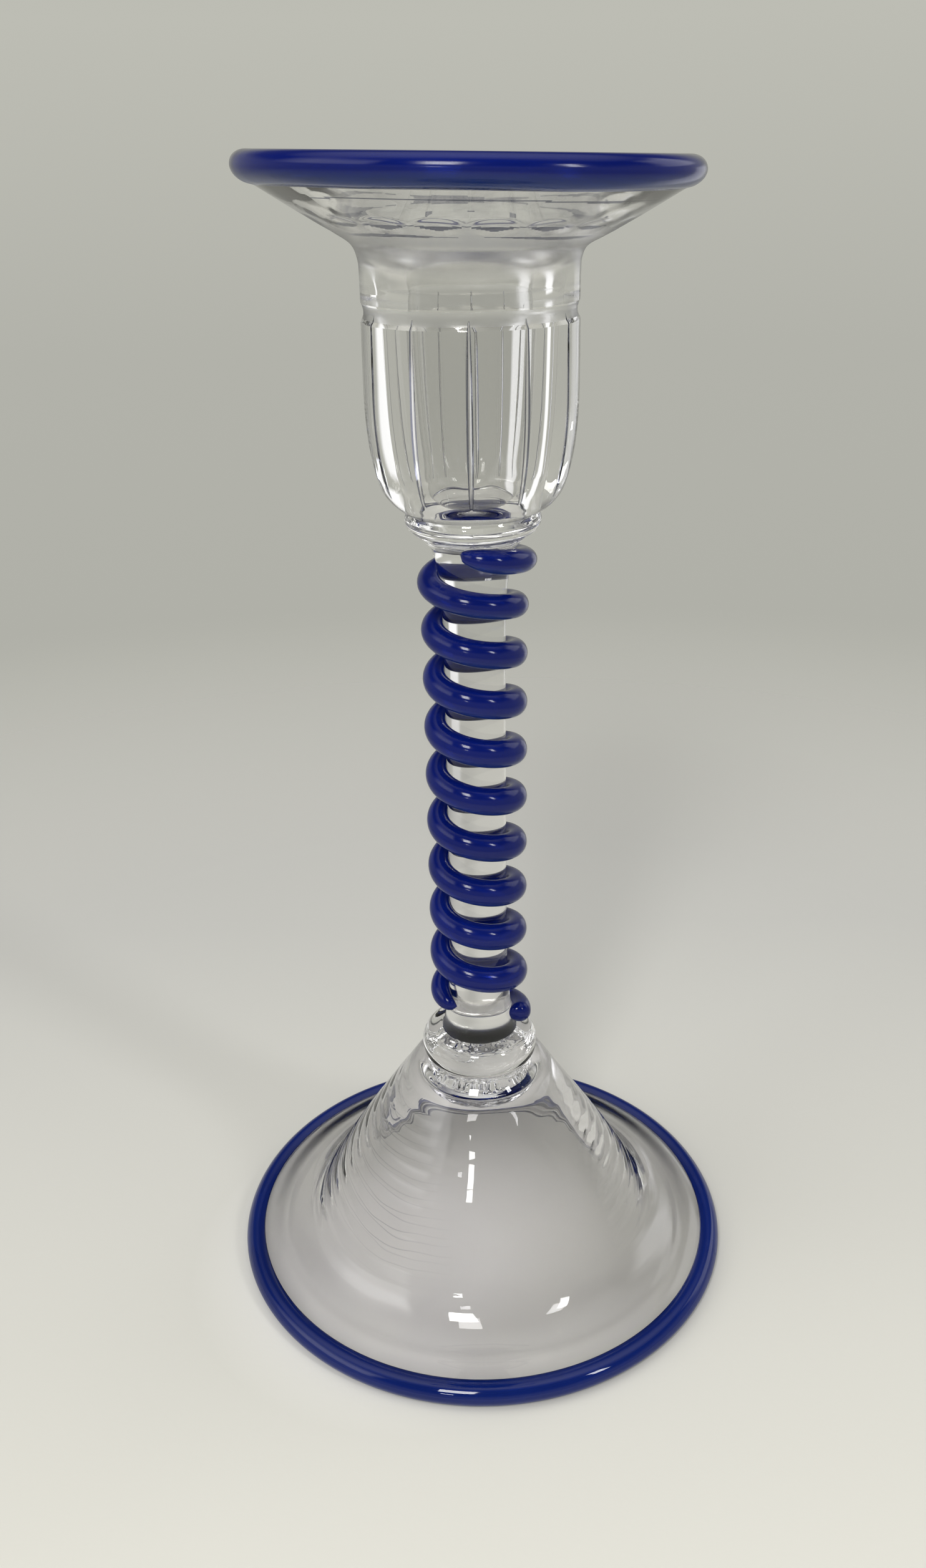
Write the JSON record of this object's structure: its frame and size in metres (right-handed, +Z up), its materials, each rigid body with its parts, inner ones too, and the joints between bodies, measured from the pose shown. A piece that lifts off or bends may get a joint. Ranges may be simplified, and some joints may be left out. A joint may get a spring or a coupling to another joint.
{
  "type": "glass candlestick",
  "caption": "Tall clear glass candlestick with a wide drip flange, cut cup, solid stem wound with a cobalt thread, and a hollow trumpet foot edged in cobalt.",
  "frame": {"origin": "on the candlestick's axis, in the plane of the surface it stands on", "axes": "+Z up along the stem to the candle; the cut-off end of the blue thread at the foot of the stem is towards +X and -Y"},
  "size_m": [0.121, 0.121, 0.254],
  "materials": {
    "clear_glass": "clear fire-polished glass with wheel-cut, polished cuts",
    "cobalt_glass": "transparent cobalt blue glass, fire-polished",
    "rough_glass": "snapped, unpolished clear glass"
  },
  "bodies": {
    "root": {"candle_cup": "clear_glass", "rim_wrap": "cobalt_glass", "upper_merese": "clear_glass", "stem_rod": "clear_glass", "stem_thread": "cobalt_glass", "thread_dab": "cobalt_glass", "lower_merese": "clear_glass", "foot": "clear_glass", "foot_wrap": "cobalt_glass", "pontil_mark": "rough_glass"}
  },
  "joints": []
}
